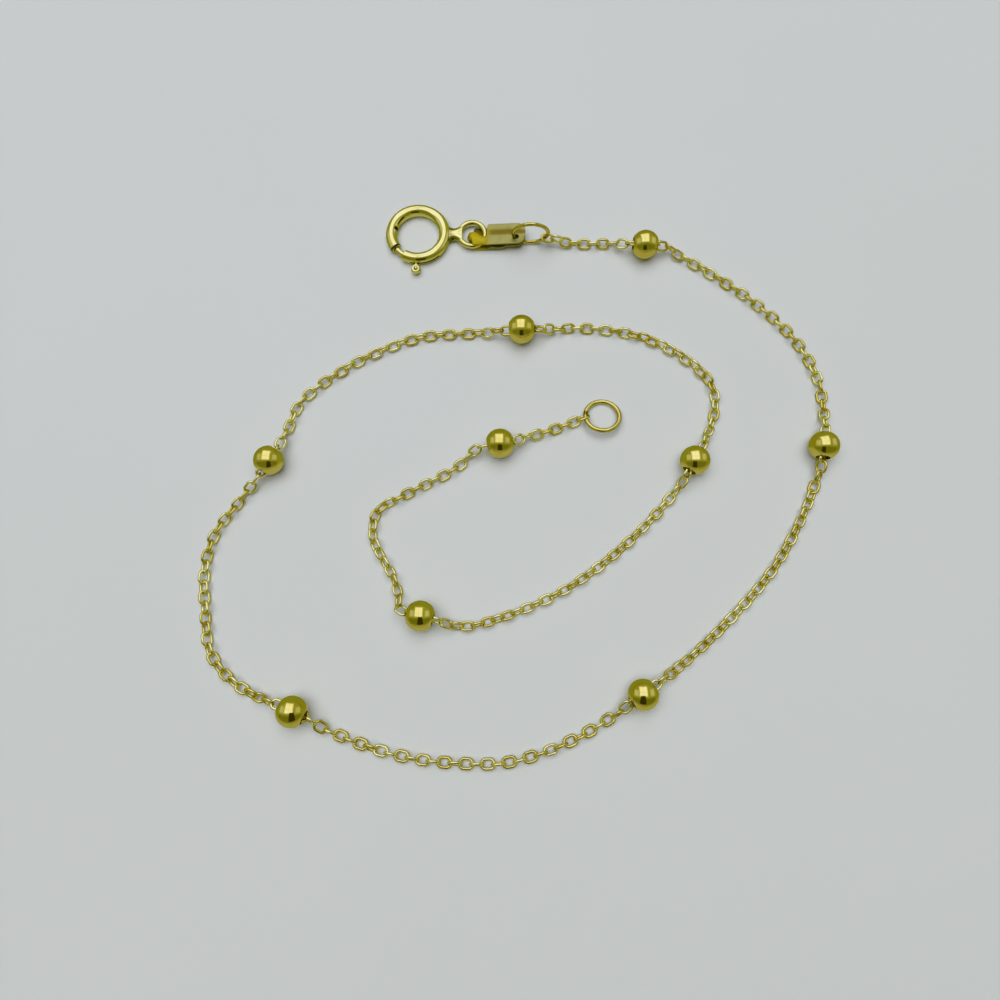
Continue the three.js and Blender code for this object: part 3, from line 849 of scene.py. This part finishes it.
def knob_surface():
    """The knob: a ball with a flat top and a hole drilled in it, turned about Z. The painted shade in the
    hole comes with it."""
    a = np.linspace(KNOB_POLE, math.pi - KNOB_POLE, KNOB_STEPS)
    from_axis = KNOB_RADIUS * np.sin(a)
    hole = KNOB_HOLE_DEPTH * fall(from_axis, KNOB_HOLE, KNOB_HOLE_SOFT) * (a < math.pi / 2)
    ball = np.stack([from_axis, np.minimum(KNOB_RADIUS * np.cos(a), KNOB_TOP) - hole], -1)
    ball = np.concatenate([[[KNOB_POINT, ball[0, 1]]], ball, [[KNOB_POINT, ball[-1, 1]]]])
    hollow = (ball[:, 0] < KNOB_HOLE + KNOB_HOLE_RIM) & (ball[:, 1] > -KNOB_TOP)
    knob = revolved(ball, KNOB_REACH * KNOB_SIDE, (0, 0, 1), KNOB_TURNS)
    return knob, np.tile(hollow, KNOB_TURNS) * KNOB_SHADE


def add_clasp(material):
    """The clasp's soldered body, and its gate with stem and knob as a piece that moves."""
    tube, marks = tube_surface()
    web, web_shade = web_surface()
    eyelet = wire_ring(EYELET_RADIUS, EYELET_WIRE, (EYELET_X, 0, 0))
    # The tube's painted shade and seam line, the web's painted shade, and nothing on the eyelet.
    painted_shade_and_seam = np.concatenate([marks, web_shade, np.zeros(len(eyelet[0]))])
    add_piece(
        "clasp_tube", moved(joined([tube, web, eyelet]), CLASP), material, ["clasp_ring"],
        sharp=CLASP_SHARP, attributes={"painted_shade_and_seam": painted_shade_and_seam},
    )
    knob, hollow = knob_surface()
    lever = joined([knob, gate_surface(), stem_surface()])
    # Painted shade in the knob's hole, and nothing on the gate and stem.
    painted_shade_and_seam = np.pad(hollow, (0, len(lever[0]) - len(hollow)))
    add_piece(
        "clasp_gate", moved(lever, CLASP), material, ["clasp_lever"],
        body="lever", attributes={"painted_shade_and_seam": painted_shade_and_seam},
    )


# Tag

# Places on the tag are measured from the clasp's middle: x away from it, y across and z above the surface.
TAG_SHEET = 0.15
TAG_SHARP = 35
TAG_FOLD_X = 4.65
TAG_END_X = 9.88
TAG_PLATE_X = 6.52
TAG_SIDES = (-1.28, 0.8)
TAG_UNDER_SPILL = 0.1
TAG_NECK = (-0.76, 0.0)
TAG_NECK_DIP = 0.42
TAG_NECK_DIP_START = 5.2
TAG_NECK_DIP_RUN = 0.8
TAG_SHOULDERS = ((4.85, 5.12), (6.24, 6.48))
TAG_UNDER_SHOULDER = (4.95, 5.25)
TAG_CROWN = 0.05
TAG_NECK_CROWN = 0.10
TAG_CROWN_START = 5.9
TAG_CROWN_RUN = 1.0
TAG_LIFT = 0.25
TAG_CORNER = 0.8
TAG_HEIGHTS = (0.09, 0.91)
TAG_RISE = 0.28
TAG_UNDER_LIFT = 0.3
TAG_UNDER_LIFT_START = 6.32
TAG_UNDER_LIFT_RUN = 0.5
TAG_GAP = (7.45, 0.25, 0.45)
TAG_GAP_DEPTH = 0.5
TAG_NECK_END = 0.3
# Points along the folded line: round end, plate, neck's end, neck and fold.
TAG_STEPS = (14, 16, 9, 18, 26)
TAG_EDGE = 0.045
TAG_EDGE_STEPS = 5
TAG_FACE_STEPS = 17
TAG_BAND = (0.15, 0.12, 0.3)
TAG_BAND_SHADE = 0.9
# Painted shade under the neck: where it starts across the strip and how far it grows.
TAG_DARK_Y = -0.5
TAG_DARK_RUN = 0.4
TAG_HOLE = (9.08, -0.62)
TAG_HOLE_HALF = (0.34, 0.22)
TAG_HOLE_LEAN = -0.8
TAG_HOLE_HEIGHTS = (-0.3, 1.4)
TAG_HOLE_LEVEL = 1.0
TAG_HOLE_STEPS = 48


def tag_above():
    """Places along the upper plate from its free end to the start of the fold, and the fold's place."""
    end_steps, plate_steps, neck_steps, plain_steps, _ = TAG_STEPS
    radius = (TAG_HEIGHTS[1] - TAG_HEIGHTS[0] - TAG_SHEET) / 2
    fold_x = TAG_FOLD_X + TAG_SHEET / 2 + radius
    turn = np.linspace(0, math.pi / 2, end_steps)
    above = np.concatenate([
        TAG_END_X - TAG_CORNER * (1 - np.cos(turn)),
        np.linspace(TAG_END_X - TAG_CORNER, TAG_PLATE_X, plate_steps)[1:],
        np.linspace(TAG_PLATE_X, TAG_PLATE_X - TAG_NECK_END, neck_steps)[1:],
        np.linspace(TAG_PLATE_X - TAG_NECK_END, fold_x, plain_steps)[1:],
    ])
    return above, fold_x


def tag_line():
    """The folded strip's middle line from above: free end, fold and back, as x and z."""
    low, high = TAG_HEIGHTS[0] + TAG_SHEET / 2, TAG_HEIGHTS[1] - TAG_SHEET / 2
    radius = (high - low) / 2
    above, fold_x = tag_above()
    back = above[::-1]
    turn = np.linspace(math.pi / 2, 1.5 * math.pi, TAG_STEPS[-1])[1:-1]
    plate_run = TAG_END_X - TAG_PLATE_X
    gap_x, gap_half, gap_soft = TAG_GAP
    sag = TAG_GAP_DEPTH * fall(abs(back - gap_x), gap_half, gap_soft)
    lift = smooth_step((back - TAG_UNDER_LIFT_START) / TAG_UNDER_LIFT_RUN) - sag
    rise = TAG_LIFT * np.clip((above - TAG_PLATE_X) / plate_run, 0, 1)
    under = low + TAG_RISE * np.clip((back - TAG_PLATE_X) / plate_run, 0, 1) + TAG_UNDER_LIFT * lift
    x = np.concatenate([above, fold_x + radius * np.cos(turn), back])
    z = np.concatenate([rise + high, (low + high) / 2 + radius * np.sin(turn), under])
    return np.stack([x, z], -1)


def tag_edges(x, under):
    """Low and high y of the tag at x: a narrow neck, short shoulders, then a plate with a round end. Under
    the eyelet the high shoulder lies further back."""
    (low_start, low_stop), (high_start, high_stop) = TAG_SHOULDERS
    side = TAG_SIDES[0] - np.where(under, TAG_UNDER_SPILL, 0)
    low = TAG_NECK[0] + (side - TAG_NECK[0]) * smooth_step((x - low_start) / (low_stop - low_start))
    over = smooth_step((x - high_start) / (high_stop - high_start))
    under_start, under_stop = TAG_UNDER_SHOULDER
    share = np.where(under, smooth_step((x - under_start) / (under_stop - under_start)), over)
    dip = TAG_NECK_DIP * smooth_step((x - TAG_NECK_DIP_START) / TAG_NECK_DIP_RUN)
    neck = TAG_NECK[1] - np.where(under, 0, dip)
    high = neck + (TAG_SIDES[1] - neck) * share
    past = np.clip(x - (TAG_END_X - TAG_CORNER), 0, TAG_CORNER)
    draw_in = TAG_CORNER - np.sqrt(TAG_CORNER**2 - past**2)
    return low + draw_in, high - draw_in


def tag_section():
    """Once round the strip's section: the share of the half width, how far the round edge goes past it,
    and the height above the sheet's middle."""
    half = TAG_SHEET / 2
    bow = np.linspace(-1, 1, TAG_FACE_STEPS)
    quarter = np.linspace(0, math.pi / 2, TAG_EDGE_STEPS)
    out = np.concatenate([np.sin(quarter), np.cos(quarter)[1:]])[1:-1]
    edge = np.concatenate([np.cos(quarter), -np.sin(quarter)[1:]])[1:-1]
    edge = np.where(edge > 0, half - TAG_EDGE * (1 - edge), -half + TAG_EDGE * (1 + edge))
    side = np.ones(len(out))
    across = np.concatenate([bow, side, bow[::-1], -side])
    spill = np.concatenate([0 * bow, out, 0 * bow, -out]) * TAG_EDGE
    lift = np.concatenate([0 * bow + half, edge, 0 * bow - half, edge[::-1]])
    return across, spill, lift


def tag_surface():
    """The strip: its section carried along the folded line, slightly crowned. Its marks come with it: a
    darker band along the upper plate, a painted warm reflection of gold on the neck, and painted shade on
    the neck's lower layer."""
    middle_line = tag_line()
    along = np.gradient(middle_line, axis=0)
    along = along / np.linalg.norm(along, axis=1, keepdims=True)
    normal = np.stack([along[:, 1], -along[:, 0]], -1)
    level = (TAG_HEIGHTS[0] + TAG_HEIGHTS[1]) / 2
    low, high = tag_edges(middle_line[:, 0], middle_line[:, 1] < level)
    across, spill, lift = tag_section()
    y = ((low + high) / 2)[:, None] + ((high - low) / 2 - TAG_EDGE)[:, None] * across + spill
    plate = smooth_step((middle_line[:, :1] - TAG_CROWN_START) / TAG_CROWN_RUN)
    crown = TAG_NECK_CROWN + (TAG_CROWN - TAG_NECK_CROWN) * plate
    out = lift + crown * (1 - across**2) * np.sign(normal[:, 1:])
    x = middle_line[:, :1] + normal[:, :1] * out
    z = middle_line[:, 1:] + normal[:, 1:] * out

    over = middle_line[:, 1:] > level
    band_middle, band_half, band_soft = TAG_BAND
    band = plate * fall(abs(across - band_middle), band_half, band_soft) * (lift > 0) * over
    # Painted shade on the neck's lower layer and shoulders, growing across the strip towards +y.
    dark = smooth_step((y - TAG_DARK_Y) / TAG_DARK_RUN)
    ends = np.zeros((1, len(across)))
    shade = np.concatenate([ends, np.where(over, TAG_BAND_SHADE * band, (1 - plate) * dark), ends])
    # The neck's painted warm reflection of gold, kept on the lower layer only where it has no painted
    # shade.
    fold = np.concatenate([ends, np.where(over, 1, 1 - dark) * (1 - plate), ends])
    return capped(np.stack([x, y, z], -1)), {"shade": shade.ravel(), "fold": fold.ravel()}


def hole_cutter():
    """A slot-shaped prism: two half circles joined, carried from under to over the tag along a lean."""
    half_length, half_width = TAG_HOLE_HALF
    t = np.linspace(0, TURN, TAG_HOLE_STEPS, endpoint=False)
    x = TAG_HOLE[0] + half_width * np.cos(t) + np.sign(np.cos(t)) * (half_length - half_width)
    y = TAG_HOLE[1] + half_width * np.sin(t)
    z = np.array(TAG_HOLE_HEIGHTS)[:, None]
    x = x + TAG_HOLE_LEAN * (z - TAG_HOLE_LEVEL)
    return capped(np.stack([x, np.broadcast_to(y, x.shape), z + 0 * x], -1))


def cut_away(piece, cutter_surface):
    """Subtracts a closed surface from a piece and keeps the result in the piece's own mesh."""
    cutter = bpy.data.objects.new("cutter", mesh_of("cutter", *cutter_surface))
    bpy.context.scene.collection.objects.link(cutter)
    cut = piece.modifiers.new("hole", "BOOLEAN")
    cut.operation = "DIFFERENCE"
    cut.solver = "EXACT"
    cut.object = cutter
    graph = bpy.context.evaluated_depsgraph_get()
    result = bpy.data.meshes.new_from_object(piece.evaluated_get(graph))
    piece.modifiers.clear()
    bpy.data.objects.remove(cutter)
    piece.data = result


def add_tag(material):
    """The folded tag, with the jump ring's slot cut through both plates."""
    offset = CLASP * [1, 1, 0]
    surface, marks = tag_surface()
    piece = add_piece(
        "tag_strip", moved(surface, offset), material, ["tag"],
        sharp=TAG_SHARP, attributes=marks,
    )
    cut_away(piece, moved(hole_cutter(), offset))


# Wire rings

JUMP_RING = (10.33, -0.69, 1.75)
JUMP_RADIUS = 1.585
JUMP_WIRE = 0.165
JUMP_LEAN = math.radians(94)
END_RING = (7.13, 4.37)
END_RADIUS = 1.48
END_WIRE = 0.2
END_LEAN = math.radians(-14)
# Where the end ring's wire is darker: angle round it in degrees and half span.
DARK_SPOT_ANGLE = 170
DARK_SPOT_HALF = 5


def add_jump_ring(material):
    """The ring that stands in the tag's slot and holds the first link."""
    surface = wire_ring(JUMP_RADIUS, JUMP_WIRE, CLASP * [1, 1, 0] + JUMP_RING, JUMP_LEAN)
    add_piece("jump_wire", surface, material, ["jump_ring"])


def add_end_ring(material):
    """The ring on the last link, tipped up on it a little, with a darker spot on its wire."""
    rise = END_RADIUS * math.sin(-END_LEAN) + END_WIRE
    middle = np.array([END_RING[0] + CENTRING[0], END_RING[1] + CENTRING[1], rise])
    surface = wire_ring(END_RADIUS, END_WIRE, middle, END_LEAN)
    offset = surface[0] - middle
    angle = np.degrees(np.arctan2(offset[:, 1], offset[:, 0]))
    dark_spot = fall(abs(angle - DARK_SPOT_ANGLE), DARK_SPOT_HALF, DARK_SPOT_HALF)
    add_piece("end_wire", surface, material, ["end_ring"], attributes={"dark_spot": dark_spot})


# Surface, light and surroundings

FLOOR_HALF = 2000.0
BACKDROP_RADIUS = 1900.0
BACKDROP_TONE = rgb(0.552, 0.577, 0.571)
BACKDROP_SPAN = (-1, 90)
BACKDROP_ROWS = 24
BACKDROP_COLUMNS = 64
LAMP_WATTS = 28.4
LAMP_PLACE = (-150.0, 200.0, 1400.0)
LAMP_SIZE = (2000.0, 1500.0)
FIGURE_TONE = rgb(0.05, 0.04, 0.003)
FIGURE_HALF_WIDTH = 27.0
FIGURE_NEAR_SHARE = 0.6
FIGURE_BEHIND = 1.0
FIGURE_NEAR_DROP = (8.0, 3.0)
FIGURE_FAR_DROP = (66.0, 33.0)


def sheet_of(name, points, faces, material):
    """A mesh of the surroundings, put into the scene with its material."""
    mesh = mesh_of(name, points, faces)
    mesh.materials.append(material)
    sheet = bpy.data.objects.new(name, mesh)
    bpy.context.scene.collection.objects.link(sheet)
    return sheet


def add_floor():
    """A wide pale card, which the gold's reflections do not show."""
    corners = FLOOR_HALF * np.array([(-1, -1, 0), (1, -1, 0), (1, 1, 0), (-1, 1, 0)])
    floor = sheet_of("floor", corners, [(0, 1, 2, 3)], pale_surface())
    floor.visible_glossy = False


def add_backdrop():
    """A wide pale dome round the floor: R (cos e cos t, cos e sin t, sin e)."""
    e = np.radians(np.linspace(*BACKDROP_SPAN, BACKDROP_ROWS))[:, None]
    t = np.linspace(0, TURN, BACKDROP_COLUMNS, endpoint=False)
    dome = np.stack([np.cos(e) * np.cos(t), np.cos(e) * np.sin(t), np.sin(e) + 0 * t], -1)
    faces = quads(BACKDROP_ROWS, BACKDROP_COLUMNS, False, True)
    points = BACKDROP_RADIUS * dome.reshape(-1, 3)
    backdrop = sheet_of("backdrop", points, faces, glowing("backdrop", BACKDROP_TONE))
    backdrop.visible_glossy = False
    backdrop.visible_diffuse = False
    backdrop.visible_shadow = False


def add_figure():
    """A dark upright sheet from the camera outwards and down, which only the gold's reflections show."""
    near = AIM + TO_CAMERA * (CAMERA_DISTANCE + FIGURE_BEHIND) - (0, *FIGURE_NEAR_DROP)
    far = near - (0, *FIGURE_FAR_DROP)
    side = np.array([FIGURE_HALF_WIDTH, 0, 0])
    inner = side * FIGURE_NEAR_SHARE
    corners = [near - inner, near + inner, far + side, far - side]
    sheet = sheet_of("dark_sheet", corners, [(0, 1, 2, 3)], glowing("dark_sheet", FIGURE_TONE))
    sheet.visible_camera = False
    sheet.visible_diffuse = False
    sheet.visible_shadow = False


def add_lamp():
    """One broad lamp overhead, a little behind and to the left, which the gold itself does not show."""
    data = bpy.data.lights.new("overhead_panel", "AREA")
    data.shape = "RECTANGLE"
    data.size, data.size_y = (length * MM for length in LAMP_SIZE)
    data.energy = LAMP_WATTS
    lamp = bpy.data.objects.new("overhead_panel", data)
    x, y, z = LAMP_PLACE
    lamp.location = (x * MM, y * MM, z * MM)
    lamp.rotation_euler = (math.atan2(math.hypot(x, y), z), 0, math.atan2(-x, y) + math.pi)
    lamp.visible_glossy = False
    bpy.context.scene.collection.objects.link(lamp)


# What a ball's face shows of the room, in ball radii right of and above its middle. A patch has the middle,
# half size and soft edge of its band across and of its band upwards, and a tone that spreads has the two
# places between which it grows.
ROOM_TONE = rgb(0.41, 0.43, 0.15)
SHADE_TONE = rgb(0.22, 0.24, 0.05)
SHADE_GROWTH = (0.02, 0.16)
RIM_TONE = rgb(0.34, 0.37, 0.09)
RIM_GROWTH = (0.40, 0.58)
FLOOR_TONE = rgb(0.53, 0.54, 0.56)
FLOOR_GROWTH = (0.45, 0.70)
FLOOR_SPREAD = 0.5
WINDOW_TONE = rgb(1.38, 1.43, 3.20)
WINDOW_ACROSS = (-0.06, 0.20, 0.10)
WINDOW_UP = (0.31, 0.25, 0.08)
BAR_ACROSS = (-0.05, 0.006, 0.012)
BARS_UP = ((0.26, 0.006, 0.012), (0.02, 0.010, 0.012))
BAR_SHARE = 0.3
SIDES_ACROSS = (0.50, 0.08, 0.10)
SIDES_UP = (0.20, 0.12, 0.12)
SIDES_SHARE = 0.3


def add_surroundings():
    """A room by direction alone. Each direction is folded halfway to the camera's, which gives the place
    where a polished ball shows it: a ball radii to the right of the ball's middle and b above it."""
    world = bpy.data.worlds.new("room")
    bpy.context.scene.world = world
    shader = Shader(world)
    halfway = shader.vector("ADD", shader.direction(), TO_CAMERA)
    face = shader.vector("NORMALIZE", halfway)
    a = shader.vector("DOT_PRODUCT", face, (1, 0, 0), output=NUMBER_SOCKET)
    b = shader.vector("DOT_PRODUCT", face, CAMERA_UP, output=NUMBER_SOCKET)

    aside = a * a
    colour = shader.mix((0 - b).rise(*SHADE_GROWTH), ROOM_TONE, SHADE_TONE)
    colour = shader.mix((aside + b * b).rise(*RIM_GROWTH), colour, RIM_TONE)
    colour = shader.mix((aside * FLOOR_SPREAD - b).rise(*FLOOR_GROWTH), colour, FLOOR_TONE)
    sides = abs(a).band(*SIDES_ACROSS) * b.band(*SIDES_UP)
    colour = shader.mix(sides * SIDES_SHARE, colour, WINDOW_TONE)
    window = a.band(*WINDOW_ACROSS) * b.band(*WINDOW_UP)
    bars = a.band(*BAR_ACROSS) + b.band(*BARS_UP[0]) + b.band(*BARS_UP[1])
    colour = shader.mix(window * (1 - bars.clamped() * BAR_SHARE), colour, WINDOW_TONE)
    shader.finish("ShaderNodeBackground", {"Color": colour, "Strength": 1.0}, "ShaderNodeOutputWorld")
    world.cycles_visibility.diffuse = False


# Everything

# The clasp's mark paints shade in its cut groove, notch, cut end, web and knob hole, and draws its seam.
clasp_gold = polished_gold(
    "clasp_gold", PALE_GOLD, LEMON_GOLD, roughness=0.03, ripple=0.25, marks=[("painted_shade_and_seam", SHADE_AND_SEAM_GOLD)],
)
ring_gold = polished_gold(
    "ring_gold", WIRE_PALE, WIRE_DEEP, roughness=0.03, ripple=0.25, marks=[("dark_spot", SHADE_GOLD)],
)
ball_gold = polished_gold("bead_gold", LEMON_GOLD, DEEP_GOLD, roughness=0.08, ripple=0.4)
# The tag's darker tones are painted shade. Its shade mark darkens a plate band and paints shade under the
# neck.
tag_gold = polished_gold(
    "tag_gold", SHEET_GOLD, SHEET_DEEP_GOLD, roughness=0.42, ripple=0.3,
    # The fold mark paints a warm reflection of gold on the neck.
    marks=[("shade", SHADE_GOLD), ("fold", FOLD_REFLECTION_GOLD)],
)
add_chain(link_gold())
add_balls(ball_gold)
add_clasp(clasp_gold)
add_tag(tag_gold)
add_jump_ring(ring_gold)
add_end_ring(ring_gold)
add_floor()
add_backdrop()
add_surroundings()
add_figure()
add_lamp()
bpy.context.scene.view_settings.view_transform = "Standard"
